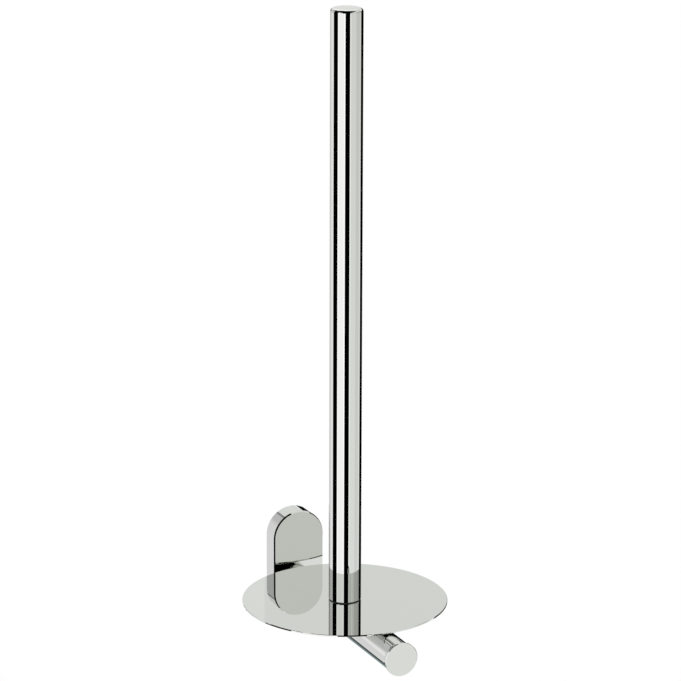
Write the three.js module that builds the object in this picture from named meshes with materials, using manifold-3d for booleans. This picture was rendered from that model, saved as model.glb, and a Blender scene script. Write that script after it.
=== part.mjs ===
// Wall-mounted holder for spare toilet rolls, in millimetres, +Z up.
// The wall is the plane y = 0 and the holder stands out from it along -Y.
// The origin is the middle of the wall bracket's back face.

import * as THREE from "three";
import { mergeVertices } from "three/addons/utils/BufferGeometryUtils.js";
import Module from "manifold-3d";

const wasm = await Module();
wasm.setup();

// Driving dimensions of the holder
const POST_DIAMETER = 20;
const POST_WALL = 1;
const POST_TOP_HEIGHT = 371; // from the plate's top face to the top of the post
const POST_REACH = 82.1; // from the wall to the post's axis
const PLATE_DIAMETER = 127.4;
const PLATE_THICKNESS = 1;
const ARM_DIAMETER = 19.4;
const ARM_WALL = 1.2;
const ARM_REACH = 163.1; // from the wall to the arm's end face
const ROSETTE_WIDTH = 34.2;
const ROSETTE_HEIGHT = 63.9;
const ROSETTE_REACH = 12.7; // from the wall to the rosette's face

// Clearances
const FIT_GAP = 0.3; // between a piece and the curved or hidden face that it fits
const WALL_GAP = 0.2; // between the rosette's rim and the wall
const OVERRUN = 1; // how far a cut runs past the faces that it opens

// Rosette
const ROSETTE_WALL = 2;
const ROSETTE_FRONT = 3; // thickness behind the face, where the arm is screwed on
const ROSETTE_EDGE_WIDTH = 0.6; // of the steep chamfer round the face, seen from the front
const ROSETTE_EDGE_DEPTH = 1.2; // of the same chamfer, seen from the side
const BOSS_WIDTH = 10; // thread boss for the lock screw
const BOSS_HEIGHT = 3.6;
const BOSS_BACK_GAP = 1; // from the wall to the back of the boss

// Wall bracket
const BRACKET_THICKNESS = 3;
const BRACKET_RIM_WALL = 2.4;
const BRACKET_RIM_DROP = 5; // how far the rim's ends reach below the upper arc's centre
const BRACKET_FRONT_GAP = 0.8; // between the rim's edge and the rosette's front wall
const BRACKET_FLANGE_THICKNESS = 2.8;
const WALL_HOLE_DIAMETER = 4.6; // for 4 mm wall screws
const WALL_HOLE_SPACING = 22;
const WALL_HOLE_RISE = 6; // from the middle of the bracket to the middle between the two holes

// Lock screw, M5 with a hexagon socket
const LOCK_SCREW_DIAMETER = 5;
const LOCK_SCREW_TIP_CHAMFER = 0.8;
const LOCK_SCREW_SINK = 0.4; // how far it sits inside the rosette's underside
const LOCK_SCREW_Y = 5.3; // from the wall to its axis
const LOCK_SOCKET_FLATS = 2.5;
const LOCK_SOCKET_DEPTH = 2.4;

// Arm screw, M6 with a round head, its split washer and the dowel beside it
const ARM_SCREW_DIAMETER = 6;
const ARM_SCREW_LENGTH = 14; // under the head
const ARM_SCREW_HEAD_DIAMETER = 10.5;
const ARM_SCREW_HEAD_HEIGHT = 3.3;
const ARM_SCREW_DOME_SHARE = 0.62; // of the head's radius, at the top of the dome
const ARM_SCREW_RIM_SHARE = 0.35; // of the head's height, up to where the dome starts
const ARM_SOCKET_FLATS = 4;
const ARM_SOCKET_DEPTH = 1.9;
const SPRING_WASHER_DIAMETER = 10.4;
const SPRING_WASHER_THICKNESS = 1.6;
const SPRING_WASHER_SLIT = 1;
const DOWEL_DIAMETER = 3;
const DOWEL_LENGTH = 8;
const DOWEL_IN_ROSETTE = 1.9;
const DOWEL_CHAMFER = 0.3;
const DOWEL_OFFSET = 5.7; // from the arm's axis

// Plugs and cap in the arm
const REAR_PLUG_LENGTH = 17;
const END_CAP_DIAMETER = 21.2; // of the flat end face
const END_CAP_FLARE = 4; // length of the flared stretch
const END_CAP_LAND = 0.5; // straight edge of the end face
const END_CAP_EDGE = 0.3; // chamfer round the end face
const SPIGOT_LENGTH = 9; // of the end cap and of the top cap
const THREAD_BLOCK_LENGTH = 20;

// Stud through arm, saddle, plate and washer into the post's foot
const STUD_DIAMETER = 8;
const STUD_LENGTH = 33;
const STUD_CHAMFER = 0.8;
const STUD_BELOW_ARM_AXIS = 4;
const PLUG_ROOF = 2.4; // solid metal past the end of a blind thread

// Saddle, plate, washer and post
const SADDLE_DIAMETER = 15;
const SADDLE_CROWN = 0.5; // at its thinnest, over the top of the arm
const SADDLE_SKIRT = 3.4; // whole height
const PLATE_EDGE = 0.2; // chamfer of the plate's rim
const POST_WASHER_DIAMETER = 19;
const POST_WASHER_THICKNESS = 0.5;
const POST_FOOT_CHAMFER = 0.3;
const TOP_EDGE_RADIUS = 2.4;
const TOP_CAP_LAND = 0.4; // straight stretch between the tube and the rounded edge

// Facet counts
const ROUND_FACETS = 48;
const PLATE_FACETS = 96;
const SMALL_FACETS = 20;
const ARC_FACETS = 12; // in each quarter of a round end
const EDGE_FACETS = 4;
const FLARE_FACETS = 5;
const HEX_SIDES = 6;

// Places that follow from these sizes
const ARM_Z = -(ROSETTE_HEIGHT - ROSETTE_WIDTH) / 2; // centre of the rosette's lower round end
const SADDLE_SEAT_Z = ARM_DIAMETER / 2 + FIT_GAP + SADDLE_CROWN; // above the arm's axis
const PLATE_TOP_Z = ARM_Z + SADDLE_SEAT_Z + PLATE_THICKNESS;
const CAVITY_FRONT = ROSETTE_REACH - ROSETTE_FRONT; // from the wall to the inside of the front wall
const STUD_HOLE_RADIUS = STUD_DIAMETER / 2 + FIT_GAP;
const SCREW_HOLE_RADIUS = ARM_SCREW_DIAMETER / 2 + FIT_GAP;
const ARM_BORE_RADIUS = ARM_DIAMETER / 2 - ARM_WALL;
const POST_BORE_RADIUS = POST_DIAMETER / 2 - POST_WALL;

// Finishes
const chrome = () => new THREE.MeshStandardMaterial({ color: 0xcfd0cc, roughness: 0.03, metalness: 1 });
const zinc = () => new THREE.MeshStandardMaterial({ color: 0x9a9c9b, roughness: 0.5, metalness: 1 });
const steel = () => new THREE.MeshStandardMaterial({ color: 0xa9acaf, roughness: 0.35, metalness: 1 });
const brass = () => new THREE.MeshStandardMaterial({ color: 0xb9954f, roughness: 0.35, metalness: 1 });
const blackNylon = () => new THREE.MeshStandardMaterial({ color: 0x16171a, roughness: 0.6, metalness: 0 });

// A closed mesh as a solid that can be joined and cut
function toSolid(geometry) {
  const bare = geometry.clone();
  bare.deleteAttribute("normal");
  bare.deleteAttribute("uv");
  const merged = mergeVertices(bare);
  const index = merged.index.array;
  const kept = [];
  for (let i = 0; i < index.length; i += 3) {
    const [a, b, c] = [index[i], index[i + 1], index[i + 2]];
    if (a !== b && b !== c && c !== a) kept.push(a, b, c);
  }
  return new wasm.Manifold(new wasm.Mesh({
    numProp: 3,
    vertProperties: new Float32Array(merged.attributes.position.array),
    triVerts: new Uint32Array(kept),
  }));
}

// A solid as a geometry that a mesh can show
function toGeometry(solid) {
  const mesh = solid.getMesh();
  const geometry = new THREE.BufferGeometry();
  geometry.setAttribute("position", new THREE.BufferAttribute(new Float32Array(mesh.vertProperties), 3));
  geometry.setIndex(new THREE.BufferAttribute(new Uint32Array(mesh.triVerts), 1));
  const flat = geometry.toNonIndexed();
  flat.computeVertexNormals();
  return flat;
}

// A turned piece about the Y axis, from points of radius and y, listed with y rising outside
function turnedAlongY(points, facets = ROUND_FACETS) {
  return new THREE.LatheGeometry(points.map(([radius, along]) => new THREE.Vector2(radius, along)), facets);
}

// The same about the Z axis
function turnedAlongZ(points, facets = ROUND_FACETS) {
  return turnedAlongY(points, facets).rotateX(Math.PI / 2);
}

// Profile of a plain round bar between two places on its axis
const bar = (radius, low, high) => [[0, low], [radius, low], [radius, high], [0, high]];

// Profile of a round bar with chamfered ends
function chamferedBar(radius, low, high, lowChamfer, highChamfer) {
  return [
    [0, low],
    [radius - lowChamfer, low],
    [radius, low + lowChamfer],
    [radius, high - highChamfer],
    [radius - highChamfer, high],
    [0, high],
  ];
}

// Profile of a plain ring
function ring(bore, radius, low, high) {
  return [[bore, low], [radius, low], [radius, high], [bore, high], [bore, low]];
}

// Outline with straight sides and round ends, standing up
function roundEndedOutline(width, height) {
  const radius = width / 2;
  const centre = height / 2 - radius;
  const outline = new THREE.Shape();
  outline.absarc(0, centre, radius, 0, Math.PI, false);
  outline.absarc(0, -centre, radius, Math.PI, 2 * Math.PI, false);
  outline.closePath();
  return outline;
}

// A round-ended slab from one distance off the wall to another
function roundEndedSlab(width, height, near, far) {
  const options = { depth: far - near, bevelEnabled: false, curveSegments: ARC_FACETS };
  return new THREE.ExtrudeGeometry(roundEndedOutline(width, height), options)
    .translate(0, 0, near)
    .rotateX(Math.PI / 2);
}

// A block between two corners
function block(low, high) {
  const size = high.map((value, axis) => value - low[axis]);
  const middle = high.map((value, axis) => (value + low[axis]) / 2);
  return new THREE.BoxGeometry(...size).translate(...middle);
}

// A hexagon prism for a socket, along Z
function hexagonAlongZ(flats, low, high) {
  const radius = flats / Math.sqrt(3);
  return new THREE.CylinderGeometry(radius, radius, high - low, HEX_SIDES)
    .translate(0, (high + low) / 2, 0)
    .rotateX(Math.PI / 2);
}

// Hollow casting with a flat face and a chamfered front edge.
// Inside are the thread boss at the bottom and the holes for the arm's screw and dowel.
function rosette() {
  const plainDepth = ROSETTE_REACH - WALL_GAP - ROSETTE_EDGE_DEPTH;
  const body = new THREE.ExtrudeGeometry(roundEndedOutline(ROSETTE_WIDTH, ROSETTE_HEIGHT), {
    depth: plainDepth,
    bevelEnabled: true,
    bevelThickness: ROSETTE_EDGE_DEPTH,
    bevelSize: ROSETTE_EDGE_WIDTH,
    bevelOffset: -ROSETTE_EDGE_WIDTH,
    bevelSegments: 1,
    curveSegments: ARC_FACETS,
  }).translate(0, 0, WALL_GAP).rotateX(Math.PI / 2);
  const innerHeight = ROSETTE_HEIGHT - 2 * ROSETTE_WALL;
  const innerWidth = ROSETTE_WIDTH - 2 * ROSETTE_WALL;
  const cavity = roundEndedSlab(innerWidth, innerHeight, -OVERRUN, CAVITY_FRONT);
  const bossTop = -innerHeight / 2 + BOSS_HEIGHT;
  const boss = block(
    [-BOSS_WIDTH / 2, -ROSETTE_REACH, -ROSETTE_HEIGHT / 2],
    [BOSS_WIDTH / 2, -BOSS_BACK_GAP, bossTop],
  );
  const behindWallGap = block(
    [-ROSETTE_WIDTH, -WALL_GAP, -ROSETTE_HEIGHT],
    [ROSETTE_WIDTH, ROSETTE_REACH, ROSETTE_HEIGHT],
  );
  const lockHole = turnedAlongZ(
    bar(LOCK_SCREW_DIAMETER / 2 + FIT_GAP, -ROSETTE_HEIGHT / 2 - OVERRUN, bossTop + OVERRUN),
    SMALL_FACETS,
  ).translate(0, -LOCK_SCREW_Y, 0);
  const armHole = turnedAlongY(
    bar(SCREW_HOLE_RADIUS, -ROSETTE_REACH - OVERRUN, -CAVITY_FRONT + OVERRUN),
    SMALL_FACETS,
  ).translate(0, 0, ARM_Z);
  const dowelEnd = -ROSETTE_REACH + DOWEL_IN_ROSETTE + FIT_GAP;
  const dowelHole = turnedAlongY(
    bar(DOWEL_DIAMETER / 2 + FIT_GAP, -ROSETTE_REACH - OVERRUN, dowelEnd),
    SMALL_FACETS,
  ).translate(0, 0, ARM_Z + DOWEL_OFFSET);
  return toGeometry(
    toSolid(body)
      .subtract(toSolid(cavity).subtract(toSolid(boss)))
      .subtract(toSolid(behindWallGap))
      .subtract(toSolid(lockHole))
      .subtract(toSolid(armHole))
      .subtract(toSolid(dowelHole)),
  );
}

// Casting on the wall: a plate with two holes for the wall screws, a curved rim at the top
// that the rosette hangs on, and a lower flange that the lock screw presses on.
const BRACKET_WIDTH = ROSETTE_WIDTH - 2 * ROSETTE_WALL - 2 * FIT_GAP;
const BRACKET_HEIGHT = ROSETTE_HEIGHT - 2 * ROSETTE_WALL - 2 * FIT_GAP;
const BRACKET_REACH = CAVITY_FRONT - BRACKET_FRONT_GAP;
const ARM_HEAD_BOTTOM_Z = ARM_Z - ARM_SCREW_HEAD_DIAMETER / 2;
const FLANGE_TOP_Z = ARM_HEAD_BOTTOM_Z - 2 * FIT_GAP;
const FLANGE_BOTTOM_Z = FLANGE_TOP_Z - BRACKET_FLANGE_THICKNESS;

function wallBracket() {
  const beyond = ROSETTE_HEIGHT;
  const above = (low) => toSolid(block([-beyond, -beyond, low], [beyond, beyond, beyond]));
  const whole = toSolid(roundEndedSlab(BRACKET_WIDTH, BRACKET_HEIGHT, 0, BRACKET_REACH))
    .intersect(above(FLANGE_BOTTOM_Z));
  const plate = whole.intersect(toSolid(block(
    [-beyond, -BRACKET_THICKNESS, -beyond],
    [beyond, beyond, beyond],
  )));
  const inside = toSolid(roundEndedSlab(
    BRACKET_WIDTH - 2 * BRACKET_RIM_WALL,
    BRACKET_HEIGHT - 2 * BRACKET_RIM_WALL,
    -OVERRUN,
    BRACKET_REACH + OVERRUN,
  ));
  const rim = whole.subtract(inside).intersect(above(-ARM_Z - BRACKET_RIM_DROP));
  const flange = whole.subtract(above(FLANGE_TOP_Z));
  const holeAt = (height) => toSolid(
    turnedAlongY(bar(WALL_HOLE_DIAMETER / 2, -BRACKET_THICKNESS - OVERRUN, OVERRUN), SMALL_FACETS)
      .translate(0, 0, height),
  );
  const upper = holeAt(WALL_HOLE_RISE + WALL_HOLE_SPACING / 2);
  const lower = holeAt(WALL_HOLE_RISE - WALL_HOLE_SPACING / 2);
  return toGeometry(plate.add(rim).add(flange).subtract(upper).subtract(lower));
}

// Grub screw that presses on the bracket's lower flange
const LOCK_SCREW_BOTTOM_Z = -ROSETTE_HEIGHT / 2 + LOCK_SCREW_SINK;
const LOCK_SCREW_TOP_Z = FLANGE_BOTTOM_Z - FIT_GAP;

function lockScrew() {
  const length = LOCK_SCREW_TOP_Z - LOCK_SCREW_BOTTOM_Z;
  const shank = chamferedBar(LOCK_SCREW_DIAMETER / 2, 0, length, 0, LOCK_SCREW_TIP_CHAMFER);
  const socket = hexagonAlongZ(LOCK_SOCKET_FLATS, -OVERRUN, LOCK_SOCKET_DEPTH);
  return toGeometry(toSolid(turnedAlongZ(shank, SMALL_FACETS)).subtract(toSolid(socket)));
}

// The arm's own frame starts on the rosette's face, with -Y along the arm
const ARM_LENGTH = ARM_REACH - ROSETTE_REACH;
const POST_ALONG_ARM = POST_REACH - ROSETTE_REACH;

function armTube() {
  const tube = turnedAlongY(ring(ARM_BORE_RADIUS, ARM_DIAMETER / 2, -ARM_LENGTH + END_CAP_FLARE, 0));
  const studHole = turnedAlongZ(bar(STUD_HOLE_RADIUS, 0, ARM_DIAMETER), SMALL_FACETS)
    .translate(0, -POST_ALONG_ARM, 0);
  return toGeometry(toSolid(tube).subtract(toSolid(studHole)));
}

// Plug whose outside flares from the tube to the flat end face in one concave arc
function armEndCap() {
  const tubeRadius = ARM_DIAMETER / 2;
  const faceRadius = END_CAP_DIAMETER / 2;
  const rise = faceRadius - tubeRadius;
  const run = END_CAP_FLARE - END_CAP_LAND - END_CAP_EDGE;
  const arcRadius = (run * run + rise * rise) / (2 * rise);
  const sweep = Math.asin(run / arcRadius);
  const flare = [];
  for (let step = FLARE_FACETS; step >= 0; step -= 1) {
    const angle = (sweep * step) / FLARE_FACETS;
    const radius = tubeRadius + arcRadius * (1 - Math.cos(angle));
    flare.push([radius, END_CAP_FLARE - arcRadius * Math.sin(angle)]);
  }
  const spigotRadius = ARM_BORE_RADIUS - FIT_GAP;
  return turnedAlongY([
    [0, 0],
    [faceRadius - END_CAP_EDGE, 0],
    [faceRadius, END_CAP_EDGE],
    ...flare,
    [spigotRadius, END_CAP_FLARE],
    [spigotRadius, END_CAP_FLARE + SPIGOT_LENGTH],
    [0, END_CAP_FLARE + SPIGOT_LENGTH],
  ]);
}

// Threaded plug flush with the tube's end on the rosette
function armRearPlug() {
  const plug = turnedAlongY(bar(ARM_BORE_RADIUS - FIT_GAP, -REAR_PLUG_LENGTH, 0));
  const threadEnd = ROSETTE_FRONT + SPRING_WASHER_THICKNESS - ARM_SCREW_LENGTH - FIT_GAP;
  const thread = turnedAlongY(bar(SCREW_HOLE_RADIUS, threadEnd, OVERRUN), SMALL_FACETS);
  const dowelEnd = DOWEL_IN_ROSETTE - DOWEL_LENGTH - FIT_GAP;
  const dowelHole = turnedAlongY(bar(DOWEL_DIAMETER / 2 + FIT_GAP, dowelEnd, OVERRUN), SMALL_FACETS)
    .translate(0, 0, DOWEL_OFFSET);
  return toGeometry(toSolid(plug).subtract(toSolid(thread)).subtract(toSolid(dowelHole)));
}

// Round-headed screw, its origin under the head, with -Y along the shank
function armScrew() {
  const radius = ARM_SCREW_DIAMETER / 2;
  const headRadius = ARM_SCREW_HEAD_DIAMETER / 2;
  const screw = turnedAlongY([
    [0, -ARM_SCREW_LENGTH],
    [radius, -ARM_SCREW_LENGTH],
    [radius, 0],
    [headRadius, 0],
    [headRadius, ARM_SCREW_HEAD_HEIGHT * ARM_SCREW_RIM_SHARE],
    [headRadius * ARM_SCREW_DOME_SHARE, ARM_SCREW_HEAD_HEIGHT],
    [0, ARM_SCREW_HEAD_HEIGHT],
  ], SMALL_FACETS);
  const socket = hexagonAlongZ(ARM_SOCKET_FLATS, -ARM_SOCKET_DEPTH, OVERRUN)
    .rotateX(-Math.PI / 2)
    .translate(0, ARM_SCREW_HEAD_HEIGHT, 0);
  return toGeometry(toSolid(screw).subtract(toSolid(socket)));
}

// Split washer under that head
function armSpringWasher() {
  const washer = turnedAlongY(
    ring(SCREW_HOLE_RADIUS, SPRING_WASHER_DIAMETER / 2, 0, SPRING_WASHER_THICKNESS),
    SMALL_FACETS,
  );
  const slit = block(
    [-SPRING_WASHER_SLIT / 2, -OVERRUN, 0],
    [SPRING_WASHER_SLIT / 2, SPRING_WASHER_THICKNESS + OVERRUN, SPRING_WASHER_DIAMETER],
  );
  return toGeometry(toSolid(washer).subtract(toSolid(slit)));
}

// Dowel between rosette and rear plug, its origin on the rosette's face
function armLocatingPin() {
  const pin = chamferedBar(
    DOWEL_DIAMETER / 2,
    DOWEL_IN_ROSETTE - DOWEL_LENGTH,
    DOWEL_IN_ROSETTE,
    DOWEL_CHAMFER,
    DOWEL_CHAMFER,
  );
  return turnedAlongY(pin, SMALL_FACETS);
}

// Slug inside the arm that takes the stud's lower thread
function armThreadBlock() {
  const radius = ARM_BORE_RADIUS - FIT_GAP;
  const slug = turnedAlongY(bar(radius, -THREAD_BLOCK_LENGTH / 2, THREAD_BLOCK_LENGTH / 2));
  const threadEnd = -STUD_BELOW_ARM_AXIS - FIT_GAP;
  const thread = turnedAlongZ(bar(STUD_HOLE_RADIUS, threadEnd, ARM_DIAMETER), SMALL_FACETS);
  return toGeometry(toSolid(slug).subtract(toSolid(thread)));
}

// The post's own frame starts on its axis, on the plate's top face
const ARM_AXIS_BELOW_PLATE = PLATE_TOP_Z - ARM_Z;
const STUD_LOW = -ARM_AXIS_BELOW_PLATE - STUD_BELOW_ARM_AXIS;
const STUD_HIGH = STUD_LOW + STUD_LENGTH;

// Collar with a round seat for the arm and a flat seat for the plate
function plateSaddle() {
  const collar = turnedAlongZ(
    ring(STUD_HOLE_RADIUS, SADDLE_DIAMETER / 2, -PLATE_THICKNESS - SADDLE_SKIRT, -PLATE_THICKNESS),
  );
  const armRoom = turnedAlongY(bar(ARM_DIAMETER / 2 + FIT_GAP, -SADDLE_DIAMETER, SADDLE_DIAMETER))
    .translate(0, 0, -ARM_AXIS_BELOW_PLATE);
  return toGeometry(toSolid(collar).subtract(toSolid(armRoom)));
}

// Round sheet plate with a broken edge
function rollPlate() {
  const radius = PLATE_DIAMETER / 2;
  return turnedAlongZ([
    [STUD_HOLE_RADIUS, -PLATE_THICKNESS],
    [radius - PLATE_EDGE, -PLATE_THICKNESS],
    [radius, -PLATE_THICKNESS + PLATE_EDGE],
    [radius, -PLATE_EDGE],
    [radius - PLATE_EDGE, 0],
    [STUD_HOLE_RADIUS, 0],
    [STUD_HOLE_RADIUS, -PLATE_THICKNESS],
  ], PLATE_FACETS);
}

// Thin washer that keeps the post off the polished plate
function postWasher() {
  return turnedAlongZ(ring(STUD_HOLE_RADIUS, POST_WASHER_DIAMETER / 2, 0, POST_WASHER_THICKNESS));
}

// Threaded stud
function postStud() {
  const stud = chamferedBar(STUD_DIAMETER / 2, STUD_LOW, STUD_HIGH, STUD_CHAMFER, STUD_CHAMFER);
  return turnedAlongZ(stud, SMALL_FACETS);
}

// Threaded plug flush with the foot of the post
function postFootPlug() {
  const threadEnd = STUD_HIGH + FIT_GAP;
  const plug = turnedAlongZ(bar(POST_BORE_RADIUS - FIT_GAP, POST_WASHER_THICKNESS, threadEnd + PLUG_ROOF));
  const thread = turnedAlongZ(bar(STUD_HOLE_RADIUS, 0, threadEnd), SMALL_FACETS);
  return toGeometry(toSolid(plug).subtract(toSolid(thread)));
}

// Post tube, up to the underside of its cap
const POST_JOINT_HEIGHT = POST_TOP_HEIGHT - TOP_EDGE_RADIUS - TOP_CAP_LAND;

function postTube() {
  const radius = POST_DIAMETER / 2;
  return turnedAlongZ([
    [POST_BORE_RADIUS, POST_WASHER_THICKNESS],
    [radius - POST_FOOT_CHAMFER, POST_WASHER_THICKNESS],
    [radius, POST_WASHER_THICKNESS + POST_FOOT_CHAMFER],
    [radius, POST_JOINT_HEIGHT],
    [POST_BORE_RADIUS, POST_JOINT_HEIGHT],
    [POST_BORE_RADIUS, POST_WASHER_THICKNESS],
  ]);
}

// Cap with a rounded edge, its spigot inside the tube
function postTopCap() {
  const radius = POST_DIAMETER / 2;
  const spigotRadius = POST_BORE_RADIUS - FIT_GAP;
  const edge = [];
  for (let step = 0; step <= EDGE_FACETS; step += 1) {
    const angle = (Math.PI / 2) * (step / EDGE_FACETS);
    const along = TOP_EDGE_RADIUS * Math.sin(angle);
    edge.push([radius - TOP_EDGE_RADIUS + TOP_EDGE_RADIUS * Math.cos(angle), TOP_CAP_LAND + along]);
  }
  return turnedAlongZ([
    [0, -SPIGOT_LENGTH],
    [spigotRadius, -SPIGOT_LENGTH],
    [spigotRadius, 0],
    [radius, 0],
    ...edge,
    [0, TOP_CAP_LAND + TOP_EDGE_RADIUS],
  ]);
}

// Adds one named piece to a group, at a place in the group's frame
function addPiece(group, name, geometry, material, place = [0, 0, 0]) {
  const mesh = new THREE.Mesh(geometry, material);
  mesh.name = name;
  mesh.position.set(...place);
  group.add(mesh);
}

const holder = new THREE.Group();

addPiece(holder, "wall_bracket", wallBracket(), zinc());
addPiece(holder, "rosette", rosette(), chrome());
addPiece(holder, "lock_screw", lockScrew(), steel(), [0, -LOCK_SCREW_Y, LOCK_SCREW_BOTTOM_Z]);

const arm = new THREE.Group();
arm.position.set(0, -ROSETTE_REACH, ARM_Z);
holder.add(arm);
addPiece(arm, "arm_tube", armTube(), chrome());
addPiece(arm, "arm_end_cap", armEndCap(), chrome(), [0, -ARM_LENGTH, 0]);
addPiece(arm, "arm_rear_plug", armRearPlug(), brass());
addPiece(arm, "arm_spring_washer", armSpringWasher(), steel(), [0, ROSETTE_FRONT, 0]);
addPiece(arm, "arm_screw", armScrew(), steel(), [0, ROSETTE_FRONT + SPRING_WASHER_THICKNESS, 0]);
addPiece(arm, "arm_locating_pin", armLocatingPin(), steel(), [0, 0, DOWEL_OFFSET]);
addPiece(arm, "arm_thread_block", armThreadBlock(), brass(), [0, -POST_ALONG_ARM, 0]);

const post = new THREE.Group();
post.position.set(0, -POST_REACH, PLATE_TOP_Z);
holder.add(post);
addPiece(post, "plate_saddle", plateSaddle(), chrome());
addPiece(post, "roll_plate", rollPlate(), chrome());
addPiece(post, "post_washer", postWasher(), blackNylon());
addPiece(post, "post_stud", postStud(), steel());
addPiece(post, "post_foot_plug", postFootPlug(), brass());
addPiece(post, "post_tube", postTube(), chrome());
addPiece(post, "post_top_cap", postTopCap(), chrome(), [0, 0, POST_JOINT_HEIGHT]);

export default holder;
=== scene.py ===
import math

import bpy
from mathutils import Matrix, Vector


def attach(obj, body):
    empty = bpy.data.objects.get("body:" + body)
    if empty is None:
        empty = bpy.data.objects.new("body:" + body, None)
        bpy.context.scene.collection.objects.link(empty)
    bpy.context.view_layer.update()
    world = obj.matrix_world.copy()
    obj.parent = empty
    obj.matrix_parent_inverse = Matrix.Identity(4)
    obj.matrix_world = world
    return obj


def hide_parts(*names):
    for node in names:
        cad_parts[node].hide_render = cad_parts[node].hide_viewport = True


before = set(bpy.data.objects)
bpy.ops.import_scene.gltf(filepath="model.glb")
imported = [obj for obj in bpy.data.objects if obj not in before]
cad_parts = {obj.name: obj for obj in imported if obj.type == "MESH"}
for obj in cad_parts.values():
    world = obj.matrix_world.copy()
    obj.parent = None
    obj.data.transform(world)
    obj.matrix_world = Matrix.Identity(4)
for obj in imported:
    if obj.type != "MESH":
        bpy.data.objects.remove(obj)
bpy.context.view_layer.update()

# The camera stands to the left of the holder, a little above it, as the photographer's did:
# 2 m away with a long lens, looking 16 degrees down.
camera_place = (-0.79487, -1.78373, 0.70257)
camera_azimuth = -24.943
camera_elevation = 16.019
camera_roll = 0.161

bpy.ops.object.camera_add(location=camera_place)
camera = bpy.context.object
camera.name = "Camera"
camera.rotation_euler = (
    Matrix.Rotation(math.radians(camera_azimuth), 4, "Z")
    @ Matrix.Rotation(math.radians(90 - camera_elevation), 4, "X")
    @ Matrix.Rotation(math.radians(camera_roll), 4, "Z")
).to_euler()
camera.data.sensor_width = 36
camera.data.sensor_fit = "HORIZONTAL"
camera.data.lens = 170.12
camera.data.clip_start = 0.1
camera.data.clip_end = 50
bpy.context.scene.camera = camera


# Wall bracket. A pressure-cast zinc plate that is screwed to the wall behind the rosette. It has a
# rim round its upper end that the rosette hangs on, a flange at its foot for the lock screw, and
# two holes for wall screws. It is bare metal, satin grey from the die.
MM = 0.001
ROSETTE_HALF_WIDTH = 17.1 * MM
ROUND_END_Z = 14.85 * MM  # height of the upper round end's centre; the lower one is as far below
BRACKET_HALF_WIDTH = 14.8 * MM
BRACKET_PLATE = 3 * MM
BRACKET_REACH = 8.9 * MM
BRACKET_RIM = 2.4 * MM
RIM_END_Z = 9.85 * MM
FLANGE_TOP_Z = -21 * MM
FLANGE_BOTTOM_Z = -23.8 * MM
WALL_HOLE_RADIUS = 2.3 * MM
WALL_HOLE_HEIGHTS = (17 * MM, -5 * MM)
BRACKET_EDGE = 0.25 * MM
BRACKET_STEPS = 64  # round each of its ends
HAIR = 0.01 * MM  # slack in telling faces apart by their place
RIM_SLACK = 0.1 * MM
WELD = 1e-6  # metres under which two vertices are one
DRILL_DEPTH = 10 * MM
DRILL_STEPS = 48


def linear(code):
    """An sRGB hex colour as Blender's linear one."""
    shares = [int(code[i : i + 2], 16) / 255 for i in (1, 3, 5)]
    return [s / 12.92 if s <= 0.04045 else ((s + 0.055) / 1.055) ** 2.4 for s in shares] + [1.0]


def add_node(material, kind, settings=None, links=None):
    """Adds one node. Settings name its own properties or its sockets, links say what feeds a socket."""
    tree = material.node_tree
    node = tree.nodes.new(kind)
    for key, value in (settings or {}).items():
        if isinstance(key, str) and hasattr(node, key):
            setattr(node, key, value)
        else:
            node.inputs[key].default_value = value
    for key, (source, output) in (links or {}).items():
        tree.links.new(source.outputs[output], node.inputs[key])
    return node


def new_material(name):
    """An empty node material."""
    material = bpy.data.materials.new(name)
    material.use_nodes = True
    material.node_tree.nodes.clear()
    return material


def finish_piece(piece, material, body, node, sharp_angle=30):
    """Puts a piece's place into its mesh, smooths it up to an angle, and joins it to the frame."""
    bpy.ops.object.select_all(action="DESELECT")
    piece.select_set(True)
    bpy.context.view_layer.objects.active = piece
    bpy.ops.object.transform_apply(location=True, rotation=True, scale=True)
    bpy.ops.object.shade_smooth_by_angle(angle=math.radians(sharp_angle))
    piece.data.materials.clear()
    piece.data.materials.append(material)
    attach(piece, body)
    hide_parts(node)


def select_where(piece, kind, test):
    """In edit mode, selects only the vertices or faces whose middle passes a test."""
    bpy.ops.mesh.select_all(action="DESELECT")
    bpy.ops.mesh.select_mode(type=kind)
    bpy.ops.object.mode_set(mode="OBJECT")
    parts = piece.data.polygons if kind == "FACE" else piece.data.vertices
    for part in parts:
        part.select = test(part.center if kind == "FACE" else part.co)
    bpy.ops.object.mode_set(mode="EDIT")


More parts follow.
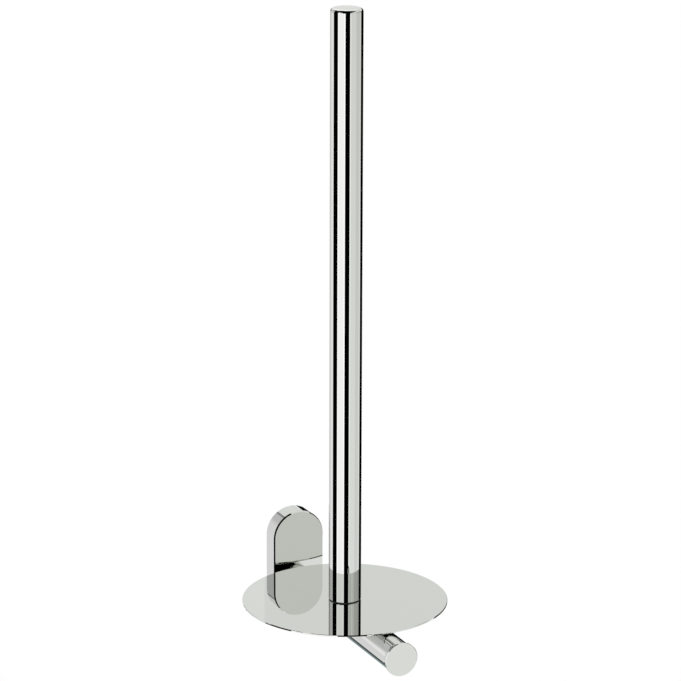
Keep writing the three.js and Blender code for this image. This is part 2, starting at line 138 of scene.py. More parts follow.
def round_ended_plate(name, half_width, end_z, front_y, back_y, arc_steps):
    """A closed slab with straight sides and round ends, standing in front of the wall."""
    bpy.ops.object.select_all(action="DESELECT")
    bpy.ops.mesh.primitive_circle_add(
        vertices=arc_steps * 2, radius=half_width, fill_type="NGON", rotation=(math.pi / 2, 0, 0)
    )
    plate = bpy.context.object
    plate.name = name
    bpy.ops.object.transform_apply(location=True, rotation=True, scale=True)
    bpy.ops.object.mode_set(mode="EDIT")
    bpy.ops.mesh.bisect(plane_co=(0, 0, 0), plane_no=(0, 0, 1), use_fill=False, clear_inner=True)
    bpy.ops.mesh.select_all(action="SELECT")
    bpy.ops.transform.translate(value=(0, front_y, end_z))
    select_where(plate, "VERT", lambda p: p.z < end_z + WELD)
    bpy.ops.mesh.extrude_region_move(TRANSFORM_OT_translate={"value": (0, 0, -end_z)})
    bpy.ops.object.mode_set(mode="OBJECT")
    mirror = plate.modifiers.new("Lower half", "MIRROR")
    mirror.use_axis = (False, False, True)
    mirror.use_clip = True
    mirror.merge_threshold = WELD
    bpy.ops.object.modifier_apply(modifier=mirror.name)
    bpy.ops.object.mode_set(mode="EDIT")
    bpy.ops.mesh.select_all(action="SELECT")
    bpy.ops.mesh.remove_doubles(threshold=WELD)
    bpy.ops.mesh.dissolve_limited(angle_limit=math.radians(0.5))
    bpy.ops.mesh.select_all(action="SELECT")
    bpy.ops.mesh.extrude_region_move(TRANSFORM_OT_translate={"value": (0, back_y - front_y, 0)})
    bpy.ops.mesh.select_all(action="SELECT")
    bpy.ops.mesh.normals_make_consistent(inside=False)
    return plate


def cut_away(piece, cutter, operation="DIFFERENCE"):
    """Cuts one closed shape out of a piece, or joins it on, and deletes the cutter."""
    bpy.ops.object.select_all(action="DESELECT")
    piece.select_set(True)
    bpy.context.view_layer.objects.active = piece
    cut = piece.modifiers.new("Cut", "BOOLEAN")
    cut.object = cutter
    cut.operation = operation
    cut.solver = "EXACT"
    bpy.ops.object.modifier_apply(modifier=cut.name)
    bpy.data.objects.remove(cutter)


def drill(piece, radius, place, axis, depth=DRILL_DEPTH):
    """Drills a round hole into a piece, half of the depth to each side of the place."""
    bpy.ops.object.select_all(action="DESELECT")
    turn = (math.pi / 2, 0, 0) if axis == "Y" else (0, 0, 0)
    bpy.ops.mesh.primitive_cylinder_add(
        vertices=DRILL_STEPS, radius=radius, depth=depth, location=place, rotation=turn
    )
    cut_away(piece, bpy.context.object)


bracket = round_ended_plate(
    "bracket", BRACKET_HALF_WIDTH, ROUND_END_Z, -BRACKET_PLATE, 0, BRACKET_STEPS
)
for height in (RIM_END_Z, FLANGE_TOP_Z):
    bpy.ops.mesh.select_all(action="SELECT")
    bpy.ops.mesh.bisect(plane_co=(0, 0, height), plane_no=(0, 0, 1))
bpy.ops.mesh.select_all(action="SELECT")
bpy.ops.mesh.bisect(
    plane_co=(0, 0, FLANGE_BOTTOM_Z), plane_no=(0, 0, 1), use_fill=True, clear_inner=True
)
on_front = -BRACKET_PLATE + HAIR
select_where(bracket, "FACE", lambda p: p.y < on_front and p.z > RIM_END_Z)
bpy.ops.mesh.inset(thickness=BRACKET_RIM, use_boundary=True, use_even_offset=True)
arch = BRACKET_HALF_WIDTH - BRACKET_RIM
select_where(
    bracket,
    "FACE",
    lambda p: p.y < on_front
    and (
        p.z < FLANGE_TOP_Z
        or (p.z > RIM_END_Z and math.hypot(p.x, max(p.z - ROUND_END_Z, 0)) > arch - RIM_SLACK)
    ),
)
bpy.ops.mesh.extrude_region_move(
    TRANSFORM_OT_translate={"value": (0, BRACKET_PLATE - BRACKET_REACH, 0)}
)
bpy.ops.object.mode_set(mode="OBJECT")
for height in WALL_HOLE_HEIGHTS:
    drill(bracket, WALL_HOLE_RADIUS, (0, 0, height), "Y")
broken_edge = bracket.modifiers.new("Broken edges", "BEVEL")
broken_edge.width = BRACKET_EDGE
broken_edge.segments = 2
broken_edge.limit_method = "ANGLE"
broken_edge.angle_limit = math.radians(50)
bpy.ops.object.modifier_apply(modifier=broken_edge.name)

# Die-cast zinc: a fine even grain left by the mould, with faint cloudy patches of oxide
cast_zinc = new_material("Die-cast zinc")
place = add_node(cast_zinc, "ShaderNodeTexCoord")
clouds = add_node(
    cast_zinc,
    "ShaderNodeTexNoise",
    {"Scale": 1 / (9 * MM), "Detail": 3.0},
    {"Vector": (place, "Object")},
)
grain = add_node(
    cast_zinc,
    "ShaderNodeTexNoise",
    {"Scale": 1 / (0.35 * MM), "Detail": 2.0},
    {"Vector": (place, "Object")},
)
cloud_tint = add_node(cast_zinc, "ShaderNodeMix", {"data_type": "RGBA"}, {"Factor": (clouds, "Fac")})
cloud_tint.inputs[6].default_value = linear("#8F9291")
cloud_tint.inputs[7].default_value = linear("#ACAEAC")
cast_roughness = add_node(
    cast_zinc, "ShaderNodeMapRange", {"To Min": 0.42, "To Max": 0.6}, {"Value": (grain, "Fac")}
)
cast_relief = add_node(
    cast_zinc, "ShaderNodeBump", {"Strength": 0.35, "Distance": 0.03 * MM}, {"Height": (grain, "Fac")}
)
cast_surface = add_node(
    cast_zinc,
    "ShaderNodeBsdfPrincipled",
    {"Metallic": 1.0},
    {
        "Base Color": (cloud_tint, 2),
        "Roughness": (cast_roughness, "Result"),
        "Normal": (cast_relief, "Normal"),
    },
)
add_node(cast_zinc, "ShaderNodeOutputMaterial", None, {"Surface": (cast_surface, "BSDF")})

# the small angle keeps the flat faces flat beside their narrow broken edges
finish_piece(bracket, cast_zinc, "holder", "wall_bracket", 15)


# Rosette. A hollow zinc casting that covers the bracket, chrome-plated to a mirror. Its flat face has
# a narrow steep chamfer all round, a boss inside its foot has the thread for the lock screw, and the
# arm is screwed to its lower half from within.
ROSETTE_FACE_Y = -12.7 * MM
ROSETTE_BACK_Y = -0.2 * MM
CAVITY_FRONT_Y = -9.7 * MM
ROSETTE_WALL = 2 * MM
CHAMFER_WIDTH = 0.6 * MM
CHAMFER_DEPTH = 1.2 * MM
BOSS_HALF_WIDTH = 5 * MM
BOSS_BACK_Y = -1 * MM
BOSS_TOP_Z = -26.35 * MM
BOSS_EDGE = 0.4 * MM
BOSS_OVERLAP = 0.5 * MM  # of the boss and the front wall that it grows from
BOSS_LIFT = 1 * MM  # of the boss over the rosette's lowest line
ROSETTE_BOTTOM_Z = -31.95 * MM
LOCK_HOLE_RADIUS = 2.8 * MM
LOCK_HOLE_Y = -5.3 * MM
LOCK_HOLE_Z = -28 * MM
ARM_HOLE_RADIUS = 3.3 * MM
ARM_Z = -14.85 * MM
DOWEL_HOLE_RADIUS = 1.8 * MM
DOWEL_HOLE_DEPTH = 2.2 * MM
DOWEL_OFFSET = 5.7 * MM
ROSETTE_STEPS = 160  # round each of its ends

rosette = round_ended_plate(
    "rosette_cover",
    ROSETTE_HALF_WIDTH,
    ROUND_END_Z,
    ROSETTE_FACE_Y + CHAMFER_DEPTH,
    ROSETTE_BACK_Y,
    ROSETTE_STEPS,
)
select_where(rosette, "FACE", lambda p: p.y > ROSETTE_BACK_Y - HAIR)
bpy.ops.mesh.inset(thickness=ROSETTE_WALL, use_even_offset=True)
bpy.ops.mesh.extrude_region_move(
    TRANSFORM_OT_translate={"value": (0, CAVITY_FRONT_Y - ROSETTE_BACK_Y, 0)}
)
select_where(rosette, "FACE", lambda p: p.y < ROSETTE_FACE_Y + CHAMFER_DEPTH + HAIR)
bpy.ops.mesh.inset(thickness=CHAMFER_WIDTH, use_even_offset=True)
bpy.ops.transform.translate(value=(0, -CHAMFER_DEPTH, 0))
bpy.ops.object.mode_set(mode="OBJECT")

boss_front = CAVITY_FRONT_Y - BOSS_OVERLAP
boss_bottom = ROSETTE_BOTTOM_Z + BOSS_LIFT
bpy.ops.object.select_all(action="DESELECT")
bpy.ops.mesh.primitive_cube_add(
    size=1,
    location=(0, (BOSS_BACK_Y + boss_front) / 2, (BOSS_TOP_Z + boss_bottom) / 2),
    scale=(2 * BOSS_HALF_WIDTH, BOSS_BACK_Y - boss_front, BOSS_TOP_Z - boss_bottom),
)
boss = bpy.context.object
bpy.ops.object.transform_apply(location=True, rotation=True, scale=True)
bpy.ops.object.mode_set(mode="EDIT")
bpy.ops.mesh.select_all(action="SELECT")
bpy.ops.mesh.bevel(offset=BOSS_EDGE, segments=3, affect="EDGES")
bpy.ops.object.mode_set(mode="OBJECT")
cut_away(rosette, boss, "UNION")
drill(rosette, LOCK_HOLE_RADIUS, (0, LOCK_HOLE_Y, LOCK_HOLE_Z), "Z")
drill(rosette, ARM_HOLE_RADIUS, (0, ROSETTE_FACE_Y, ARM_Z), "Y")
dowel_place = (0, ROSETTE_FACE_Y, ARM_Z + DOWEL_OFFSET)
drill(rosette, DOWEL_HOLE_RADIUS, dowel_place, "Y", 2 * DOWEL_HOLE_DEPTH)

# Chrome plating on polished metal: a mirror with a slightly warm grey tint, and in it the last
# traces of the polishing mop, far finer than the eye can part, which only soften the gloss in places
polished_chrome = new_material("Polished chrome plating")
place = add_node(polished_chrome, "ShaderNodeTexCoord")
mop_traces = add_node(
    polished_chrome,
    "ShaderNodeTexNoise",
    {"Scale": 1 / (14 * MM), "Detail": 4.0, "Roughness": 0.6},
    {"Vector": (place, "Object")},
)
haze = add_node(
    polished_chrome,
    "ShaderNodeMapRange",
    {"From Min": 0.35, "From Max": 0.75, "To Min": 0.006, "To Max": 0.018},
    {"Value": (mop_traces, "Fac")},
)
chrome_tint = add_node(
    polished_chrome, "ShaderNodeMix", {"data_type": "RGBA"}, {"Factor": (mop_traces, "Fac")}
)
chrome_tint.inputs[6].default_value = linear("#CFD2CC")
chrome_tint.inputs[7].default_value = linear("#D1D3CE")
chrome_surface = add_node(
    polished_chrome,
    "ShaderNodeBsdfPrincipled",
    {"Metallic": 1.0},
    {"Base Color": (chrome_tint, 2), "Roughness": (haze, "Result")},
)
add_node(polished_chrome, "ShaderNodeOutputMaterial", None, {"Surface": (chrome_surface, "BSDF")})

finish_piece(rosette, polished_chrome, "holder", "rosette", 12)


# Lock screw. An M5 grub screw of zinc-plated steel with a hexagon socket, turned up through the
# rosette's boss against the bracket's flange. It travels on its own, so it rides on its own body.

# Zinc-plated steel: cool grey with a faint blue cast and the fine turning marks of the blank
zinc_plated_steel = new_material("Zinc-plated steel")
place = add_node(zinc_plated_steel, "ShaderNodeTexCoord")
turning = add_node(
    zinc_plated_steel,
    "ShaderNodeTexNoise",
    {"Scale": 1 / (0.5 * MM), "Detail": 2.0},
    {"Vector": (place, "Object")},
)
passivation = add_node(
    zinc_plated_steel, "ShaderNodeTexNoise", {"Scale": 1 / (5 * MM)}, {"Vector": (place, "Object")}
)
zinc_tint = add_node(
    zinc_plated_steel, "ShaderNodeMix", {"data_type": "RGBA"}, {"Factor": (passivation, "Fac")}
)
zinc_tint.inputs[6].default_value = linear("#A4A9B0")
zinc_tint.inputs[7].default_value = linear("#BABBB6")
zinc_roughness = add_node(
    zinc_plated_steel,
    "ShaderNodeMapRange",
    {"To Min": 0.22, "To Max": 0.4},
    {"Value": (turning, "Fac")},
)
zinc_surface = add_node(
    zinc_plated_steel,
    "ShaderNodeBsdfPrincipled",
    {"Metallic": 1.0},
    {"Base Color": (zinc_tint, 2), "Roughness": (zinc_roughness, "Result")},
)
add_node(zinc_plated_steel, "ShaderNodeOutputMaterial", None, {"Surface": (zinc_surface, "BSDF")})


def dress(node, material):
    """Gives a solid of the frame its finish."""
    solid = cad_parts[node]
    solid.data.materials.clear()
    solid.data.materials.append(material)


dress("lock_screw", zinc_plated_steel)


# Arm. A drawn brass tube, chrome-plated, that stands out level from the rosette. Its front end is
# closed by a turned plug with a flared lip, pressed in and plated with it.
ARM_RADIUS = 9.7 * MM
ARM_BORE_RADIUS = 8.5 * MM
ARM_FACE_Y = -163.1 * MM
CAP_FLARE = 4 * MM
ARM_FRONT_Y = ARM_FACE_Y + CAP_FLARE  # where the tube ends and the plug's flare begins
CAP_FACE_RADIUS = 10.6 * MM
CAP_EDGE = 0.3 * MM
CAP_LAND = 0.5 * MM
CAP_SPIGOT = 9 * MM  # length of a plug inside its tube
FIT_GAP = 0.3 * MM
TUBE_EDGE = 0.15 * MM
FLARE_STEPS = 14
ARM_STEPS = 160
POST_Y = -82.1 * MM
STUD_HOLE_RADIUS = 4.3 * MM  # clear of the M8 stud that comes down from the post
STUD_HOLE_DEPTH = 8 * MM


def turned(name, profile, axis, centre, steps):
    """A turned piece: points of radius and place along the axis, drawn as a line and spun about it."""
    bpy.ops.object.select_all(action="DESELECT")
    bpy.ops.mesh.primitive_plane_add(size=1 * MM, location=(0, 0, 0))
    piece = bpy.context.object
    piece.name = name
    bpy.ops.object.mode_set(mode="EDIT")
    bpy.ops.mesh.select_mode(type="VERT")
    bpy.ops.mesh.select_all(action="SELECT")
    bpy.ops.mesh.merge(type="CENTER")
    points = [
        Vector((radius, along, 0)) if axis == "Y" else Vector((radius, 0, along))
        for radius, along in profile
    ]
    bpy.ops.transform.translate(value=points[0])
    for before, point in zip(points, points[1:]):
        bpy.ops.mesh.extrude_region_move(TRANSFORM_OT_translate={"value": point - before})
    bpy.ops.mesh.select_all(action="SELECT")
    bpy.ops.mesh.spin(
        steps=steps,
        angle=2 * math.pi,
        center=(0, 0, 0),
        axis=(0, 1, 0) if axis == "Y" else (0, 0, 1),
    )
    bpy.ops.mesh.select_all(action="SELECT")
    bpy.ops.mesh.remove_doubles(threshold=WELD)
    bpy.ops.mesh.normals_make_consistent(inside=False)
    bpy.ops.mesh.select_all(action="SELECT")
    bpy.ops.transform.translate(value=centre)
    bpy.ops.object.mode_set(mode="OBJECT")
    return piece


arm = turned(
    "arm",
    [
        (ARM_BORE_RADIUS, ROSETTE_FACE_Y),
        (ARM_RADIUS - TUBE_EDGE, ROSETTE_FACE_Y),
        (ARM_RADIUS, ROSETTE_FACE_Y - TUBE_EDGE),
        (ARM_RADIUS, ARM_FRONT_Y),
        (ARM_BORE_RADIUS, ARM_FRONT_Y),
        (ARM_BORE_RADIUS, ROSETTE_FACE_Y),
    ],
    "Y",
    (0, 0, ARM_Z),
    ARM_STEPS,
)
drill(arm, STUD_HOLE_RADIUS, (0, POST_Y, ARM_Z + ARM_RADIUS), "Z", STUD_HOLE_DEPTH)
finish_piece(arm, polished_chrome, "holder", "arm_tube")

rise = CAP_FACE_RADIUS - ARM_RADIUS
run = CAP_FLARE - CAP_LAND - CAP_EDGE
arc_radius = (run * run + rise * rise) / (2 * rise)
sweep = math.asin(run / arc_radius)
flare = [
    (
        ARM_RADIUS + arc_radius * (1 - math.cos(sweep * share / FLARE_STEPS)),
        ARM_FRONT_Y - arc_radius * math.sin(sweep * share / FLARE_STEPS),
    )
    for share in range(FLARE_STEPS, -1, -1)
]
arm_cap = turned(
    "arm_end",
    [
        (0, ARM_FACE_Y),
        (CAP_FACE_RADIUS - CAP_EDGE, ARM_FACE_Y),
        (CAP_FACE_RADIUS, ARM_FACE_Y + CAP_EDGE),
        *flare,
        (ARM_BORE_RADIUS - FIT_GAP, ARM_FRONT_Y),
        (ARM_BORE_RADIUS - FIT_GAP, ARM_FRONT_Y + CAP_SPIGOT),
        (0, ARM_FRONT_Y + CAP_SPIGOT),
    ],
    "Y",
    (0, 0, ARM_Z),
    ARM_STEPS,
)
finish_piece(arm_cap, polished_chrome, "holder", "arm_end_cap")


# Inside the arm. Plug, screw, split washer, dowel and thread block, of brass and plated steel, hold
# it to the rosette and the post to it. They are closed in, so their solids stay and get their finishes.

# Turned brass: warm yellow, with fine rings from the lathe that break up its gloss
turned_brass = new_material("Turned brass")
place = add_node(turned_brass, "ShaderNodeTexCoord")
rings = add_node(
    turned_brass,
    "ShaderNodeTexWave",
    {"Scale": 0.3 / (0.4 * MM), "Distortion": 1.0},
    {"Vector": (place, "Object")},
)
brass_tint = add_node(turned_brass, "ShaderNodeMix", {"data_type": "RGBA"}, {"Factor": (rings, "Fac")})
brass_tint.inputs[6].default_value = linear("#C0A05A")
brass_tint.inputs[7].default_value = linear("#CBAC66")
brass_roughness = add_node(
    turned_brass, "ShaderNodeMapRange", {"To Min": 0.24, "To Max": 0.38}, {"Value": (rings, "Fac")}
)
brass_surface = add_node(
    turned_brass,
    "ShaderNodeBsdfPrincipled",
    {"Metallic": 1.0},
    {"Base Color": (brass_tint, 2), "Roughness": (brass_roughness, "Result")},
)
add_node(turned_brass, "ShaderNodeOutputMaterial", None, {"Surface": (brass_surface, "BSDF")})
for node in ("arm_rear_plug", "arm_thread_block"):
    dress(node, turned_brass)
for node in ("arm_spring_washer", "arm_screw", "arm_locating_pin"):
    dress(node, zinc_plated_steel)


# Saddle. A short turned collar between the round arm and the flat plate, chrome-plated. Its foot
# is milled to the arm's curve and its flat top carries the plate.
PLATE_TOP_Z = -3.35 * MM
PLATE_THICKNESS = 1 * MM
SADDLE_RADIUS = 7.5 * MM
SADDLE_SKIRT = 3.4 * MM
SADDLE_EDGE = 0.2 * MM
MILLING_LENGTH = 40 * MM
SMALL_STEPS = 96

saddle_top = PLATE_TOP_Z - PLATE_THICKNESS
saddle = turned(
    "saddle",
    [
        (STUD_HOLE_RADIUS, saddle_top - SADDLE_SKIRT),
        (SADDLE_RADIUS, saddle_top - SADDLE_SKIRT),
        (SADDLE_RADIUS, saddle_top - SADDLE_EDGE),
        (SADDLE_RADIUS - SADDLE_EDGE, saddle_top),
        (STUD_HOLE_RADIUS, saddle_top),
        (STUD_HOLE_RADIUS, saddle_top - SADDLE_SKIRT),
    ],
    "Z",
    (0, POST_Y, 0),
    SMALL_STEPS,
)
bpy.ops.object.select_all(action="DESELECT")
bpy.ops.mesh.primitive_cylinder_add(
    vertices=ARM_STEPS,
    radius=ARM_RADIUS + FIT_GAP,
    depth=MILLING_LENGTH,
    location=(0, POST_Y, ARM_Z),
    rotation=(math.pi / 2, 0, 0),
)
cut_away(saddle, bpy.context.object)
finish_piece(saddle, polished_chrome, "holder", "plate_saddle")


# Plate. A round blank of sheet metal with a slightly rounded rim, polished and chrome-plated, that
# the rolls stand on. It is clamped between the saddle and the post.
PLATE_RADIUS = 63.7 * MM
PLATE_EDGE = 0.2 * MM
PLATE_STEPS = 320

plate = turned(
    "plate",
    [
        (STUD_HOLE_RADIUS, PLATE_TOP_Z - PLATE_THICKNESS),
        (PLATE_RADIUS - PLATE_EDGE, PLATE_TOP_Z - PLATE_THICKNESS),
        (PLATE_RADIUS, PLATE_TOP_Z - PLATE_THICKNESS + PLATE_EDGE),
        (PLATE_RADIUS, PLATE_TOP_Z - PLATE_EDGE),
        (PLATE_RADIUS - PLATE_EDGE, PLATE_TOP_Z),
        (STUD_HOLE_RADIUS, PLATE_TOP_Z),
        (STUD_HOLE_RADIUS, PLATE_TOP_Z - PLATE_THICKNESS),
    ],
    "Z",
    (0, POST_Y, 0),
    PLATE_STEPS,
)
finish_piece(plate, polished_chrome, "holder", "roll_plate")


# Post. A drawn brass tube, chrome-plated, on a thin nylon washer that keeps it off the polished
# plate. A stud ties it to the arm through the plate, and a plated cap with a rounded edge closes it.
POST_RADIUS = 10 * MM
POST_BORE_RADIUS = 9 * MM
WASHER_RADIUS = 9.5 * MM
WASHER_THICKNESS = 0.5 * MM
POST_FOOT_EDGE = 0.3 * MM
TOP_EDGE = 2.4 * MM
TOP_LAND = 0.4 * MM
POST_TOP_Z = 367.65 * MM
CAP_JOINT_Z = POST_TOP_Z - TOP_EDGE - TOP_LAND
TOP_EDGE_STEPS = 12
POST_STEPS = 192

washer = turned(
    "washer",
    [
        (STUD_HOLE_RADIUS, PLATE_TOP_Z),
        (WASHER_RADIUS, PLATE_TOP_Z),
        (WASHER_RADIUS, PLATE_TOP_Z + WASHER_THICKNESS),
        (STUD_HOLE_RADIUS, PLATE_TOP_Z + WASHER_THICKNESS),
        (STUD_HOLE_RADIUS, PLATE_TOP_Z),
    ],
    "Z",
    (0, POST_Y, 0),
    SMALL_STEPS,
)

# Moulded nylon: near black with a dull, slightly waxy surface
black_nylon = new_material("Moulded black nylon")
place = add_node(black_nylon, "ShaderNodeTexCoord")
moulding = add_node(
    black_nylon,
    "ShaderNodeTexNoise",
    {"Scale": 1 / (0.6 * MM), "Detail": 2.0},
    {"Vector": (place, "Object")},
)
nylon_tint = add_node(
    black_nylon, "ShaderNodeMix", {"data_type": "RGBA"}, {"Factor": (moulding, "Fac")}
)
nylon_tint.inputs[6].default_value = linear("#121316")
nylon_tint.inputs[7].default_value = linear("#1B1C1F")
nylon_roughness = add_node(
    black_nylon, "ShaderNodeMapRange", {"To Min": 0.5, "To Max": 0.7}, {"Value": (moulding, "Fac")}
)
nylon_surface = add_node(
    black_nylon,
    "ShaderNodeBsdfPrincipled",
    {"IOR": 1.53},
    {"Base Color": (nylon_tint, 2), "Roughness": (nylon_roughness, "Result")},
)
add_node(black_nylon, "ShaderNodeOutputMaterial", None, {"Surface": (nylon_surface, "BSDF")})
finish_piece(washer, black_nylon, "holder", "post_washer")

post = turned(
    "post",
    [
        (POST_BORE_RADIUS, PLATE_TOP_Z + WASHER_THICKNESS),
        (POST_RADIUS - POST_FOOT_EDGE, PLATE_TOP_Z + WASHER_THICKNESS),
        (POST_RADIUS, PLATE_TOP_Z + WASHER_THICKNESS + POST_FOOT_EDGE),
        (POST_RADIUS, CAP_JOINT_Z),
        (POST_BORE_RADIUS, CAP_JOINT_Z),
        (POST_BORE_RADIUS, PLATE_TOP_Z + WASHER_THICKNESS),
    ],
    "Z",
    (0, POST_Y, 0),
    POST_STEPS,
)
finish_piece(post, polished_chrome, "holder", "post_tube")

rounding = [
    (
        POST_RADIUS - TOP_EDGE + TOP_EDGE * math.cos(math.pi / 2 * share / TOP_EDGE_STEPS),
        POST_TOP_Z - TOP_EDGE + TOP_EDGE * math.sin(math.pi / 2 * share / TOP_EDGE_STEPS),
    )
    for share in range(TOP_EDGE_STEPS + 1)
]
top_cap = turned(
    "post_cap",
    [
        (0, CAP_JOINT_Z - CAP_SPIGOT),
        (POST_BORE_RADIUS - FIT_GAP, CAP_JOINT_Z - CAP_SPIGOT),
        (POST_BORE_RADIUS - FIT_GAP, CAP_JOINT_Z),
        (POST_RADIUS, CAP_JOINT_Z),
        *rounding,
        (0, POST_TOP_Z),
    ],
    "Z",
    (0, POST_Y, 0),
    POST_STEPS,
)
finish_piece(top_cap, polished_chrome, "holder", "post_top_cap")
dress("post_foot_plug", turned_brass)
dress("post_stud", zinc_plated_steel)


# Floor. A plain pale studio floor well below the holder, which hangs on a wall. It is clear from
# beneath, so that the holder can be looked at from there too.
FLOOR_SIZE = 1.6
FLOOR_Z = -0.5

bpy.ops.object.select_all(action="DESELECT")
bpy.ops.mesh.primitive_plane_add(size=FLOOR_SIZE, location=(0, POST_Y, FLOOR_Z))
floor = bpy.context.object
floor.name = "Floor"
floor_paint = new_material("Pale floor paint")
floor_rays = add_node(floor_paint, "ShaderNodeLightPath")
floor_side = add_node(floor_paint, "ShaderNodeNewGeometry")
floor_matt = add_node(floor_paint, "ShaderNodeBsdfDiffuse", {"Color": linear("#F4F4F3")})
floor_white = add_node(floor_paint, "ShaderNodeEmission", {"Strength": 1.0})
floor_seen = add_node(
    floor_paint,
    "ShaderNodeMath",
    {"operation": "MAXIMUM"},
    {0: (floor_rays, "Is Glossy Ray"), 1: (floor_rays, "Is Transmission Ray")},
)
floor_shown = add_node(
    floor_paint,
    "ShaderNodeMixShader",
    None,
    {0: (floor_seen, 0), 1: (floor_matt, 0), 2: (floor_white, 0)},
)
floor_clear = add_node(floor_paint, "ShaderNodeBsdfTransparent")
floor_surface = add_node(
    floor_paint,
    "ShaderNodeMixShader",
    None,
    {0: (floor_side, "Backfacing"), 1: (floor_shown, 0), 2: (floor_clear, 0)},
)
add_node(floor_paint, "ShaderNodeOutputMaterial", None, {"Surface": (floor_surface, 0)})
floor.data.materials.append(floor_paint)


# Studio. White surroundings with soft light from all round, and cards that stand round the holder
# out of the camera's sight: black flags that draw the dark stripes in the chrome, and brighter
# screens between them.
world = bpy.data.worlds.new("White studio")
bpy.context.scene.world = world
world.use_nodes = True
world.node_tree.nodes.clear()
rays = add_node(world, "ShaderNodeLightPath")
seen = add_node(
    world,
    "ShaderNodeMath",
    {"operation": "MAXIMUM"},
    {0: (rays, "Is Camera Ray"), 1: (rays, "Is Glossy Ray")},
)
seen_or_through = add_node(
    world,
    "ShaderNodeMath",
    {"operation": "MAXIMUM"},
    {0: (seen, 0), 1: (rays, "Is Transmission Ray")},
)
sky_strength = add_node(
    world, "ShaderNodeMapRange", {"To Min": 0.7, "To Max": 1.0}, {"Value": (seen_or_through, 0)}
)
sky = add_node(
    world, "ShaderNodeBackground", {"Color": linear("#FFFFFF")}, {"Strength": (sky_strength, "Result")}
)
add_node(world, "ShaderNodeOutputWorld", None, {"Surface": (sky, 0)})


def paint_card(made, name, colour, strength, fade=None):
    """Makes a card glow, evenly or fading upwards, and leaves it to be seen in reflections only."""
    made.name = name
    paint = new_material(name)
    glow = add_node(paint, "ShaderNodeEmission", {"Color": linear(colour), "Strength": strength})
    if fade:
        start, end, head_strength = fade
        place = add_node(paint, "ShaderNodeTexCoord")
        height = add_node(paint, "ShaderNodeSeparateXYZ", None, {"Vector": (place, "Object")})
        fading = add_node(
            paint,
            "ShaderNodeMapRange",
            {"From Min": start, "From Max": end, "To Min": strength, "To Max": head_strength},
            {"Value": (height, "Y")},
        )
        paint.node_tree.links.new(fading.outputs["Result"], glow.inputs["Strength"])
    add_node(paint, "ShaderNodeOutputMaterial", None, {"Surface": (glow, 0)})
    made.data.materials.append(paint)
    made.visible_camera = False
    made.visible_diffuse = False
    made.visible_shadow = False
    made.visible_transmission = False


def card(name, left, right, bottom, top, colour, strength, fade=None, distance=1.6):
    """An upright card: bearings from the camera's in degrees, heights and distance in metres. A fade
    gives the height where it starts, the height where it ends, and the strength from there up."""
    middle = math.radians(camera_azimuth + (left + right) / 2)
    half_width = distance * math.tan(math.radians(right - left) / 2)
    bpy.ops.object.select_all(action="DESELECT")
    bpy.ops.mesh.primitive_plane_add(
        size=1,
        location=(
            math.sin(middle) * distance,
            POST_Y - math.cos(middle) * distance,
            (bottom + top) / 2,
        ),
        rotation=(math.pi / 2, 0, middle),
    )
    made = bpy.context.object
    made.scale = (2 * half_width, top - bottom, 1)
    if fade:
        shares = [(height - bottom) / (top - bottom) - 0.5 for height in fade[:2]]
        fade = (*shares, fade[2])
    paint_card(made, name, colour, strength, fade)


BLACK = "#000000"
COOL_WHITE = "#FCF9FF"
WHITE = "#FFFFFF"
card("Flag by the camera", -7.8, 24.5, -2.4, 2.4, BLACK, 0.0, None, 1.5)
card("Flag over the left screen", -27, -7.8, 0.74, 2.4, BLACK, 0.0, None, 1.5)
card("Flag on the left", -98.5, -60.3, -2.4, 2.4, BLACK, 0.0, None, 1.5)
card("Flag high on the left", -128, -98.5, 1.25, 2.4, BLACK, 0.0, None, 1.5)
card("Flag on the right", 117, 173, -2.4, 0.8, BLACK, 0.0, None, 1.5)
card("Low flag on the right", 173, 177, -2.4, 0.4, BLACK, 0.0, None, 1.5)
card("Screen on the left", -61, -7.8, -2.4, 0.95, COOL_WHITE, 1.4)
card("Far edge of the left screen", -61, -54, -2.4, 0.95, COOL_WHITE, 1.62, None, 1.55)
card("Near edge of the left screen", -16, -7.8, -2.4, 0.95, COOL_WHITE, 1.6, None, 1.55)
card("Panel on the left", -121.5, -98.5, -2.4, 1.25, COOL_WHITE, 1.2, (0.1, 0.55, 0.88))
card("Board on the left", -141, -121.5, -2.4, 1.25, COOL_WHITE, 1.0, (0.25, 0.55, 0.75))
card("Stand on the left", -146, -141, -2.4, 1.2, COOL_WHITE, 0.38, None, 1.5)
card("Edge of the right screen", 24.5, 31, -2.4, 1.5, WHITE, 1.33, (0.1, 0.55, 1.05))
card("Screen on the right", 31, 70, -2.4, 1.5, WHITE, 1.08, (-0.6, 0.55, 0.88))
card("Board on the right", 70, 104, -2.4, 1.5, WHITE, 0.96, (-0.6, 0.55, 0.7))
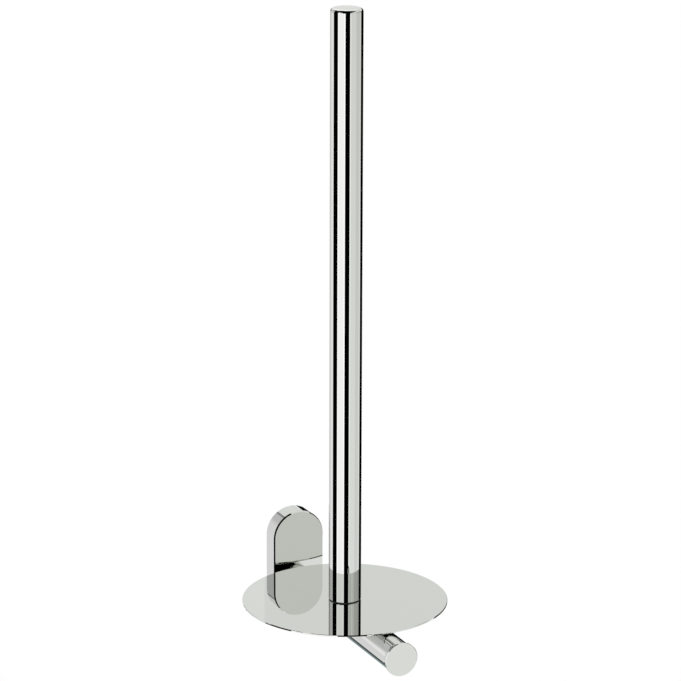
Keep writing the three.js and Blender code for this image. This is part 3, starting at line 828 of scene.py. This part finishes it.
card("Edge of the right board", 104, 117, -2.4, 1.5, WHITE, 1.12, (-0.2, 0.55, 0.58))
card("Small screen", 48.7, 54.7, 0.42, 0.6, "#FEFCFF", 1.18, None, 1.325)
card("Board behind", 170, 183.2, 0.42, 0.9, WHITE, 0.93)
card("Small flag on the left", -168, -146, 0.38, 0.72, WHITE, 0.2, None, 1.5)
card("Screen high behind", 168, 210, 0.62, 1.5, WHITE, 1.5, None, 0.5)
card("Low flag behind", -147.8, -138.2, -0.49, -0.3, "#E6FAFF", 0.07, None, 0.55)
card("Low dark card behind", -152.8, -147.8, -0.49, -0.32, "#E6FAFF", 0.17, None, 0.55)
card("Low grey card behind", -169.3, -152.8, -0.49, -0.31, "#E6FAFF", 0.33, None, 0.55)
card("Low pale card behind", -184, -169.3, -0.49, -0.25, "#E6FAFF", 0.5, None, 0.55)


def level_flag(name, width, depth, aside, ahead, height):
    """A black flag lying level: its middle is so far aside of and beyond the post, for the camera."""
    to_camera_side = Matrix.Rotation(math.radians(camera_azimuth), 3, "Z")
    bpy.ops.object.select_all(action="DESELECT")
    bpy.ops.mesh.primitive_plane_add(
        size=1,
        location=Vector((0, POST_Y, height)) + to_camera_side @ Vector((aside, ahead, 0)),
        rotation=(0, 0, math.radians(camera_azimuth)),
    )
    made = bpy.context.object
    made.scale = (width, depth, 1)
    paint_card(made, name, BLACK, 0.0)


level_flag("Flag above the post", 0.56, 0.5, -0.03, -0.24, 0.62)
level_flag("Dark ceiling on the left", 1.3, 0.9, -0.95, 0, 2.4)

# a soft lamp from the upper left, kept out of the chrome
KEY_PLACE = (-1.6, -1.6, 1.8)
KEY_TARGET = Vector((0, -0.08, 0.15))
bpy.ops.object.light_add(type="AREA", location=KEY_PLACE)
key = bpy.context.object
key.name = "Key light"
key.data.shape = "SQUARE"
key.data.size = 1.2
key.data.energy = 22
key.rotation_euler = (KEY_TARGET - key.location).to_track_quat("-Z", "Y").to_euler()
key.visible_glossy = False

bpy.context.scene.view_settings.view_transform = "Standard"
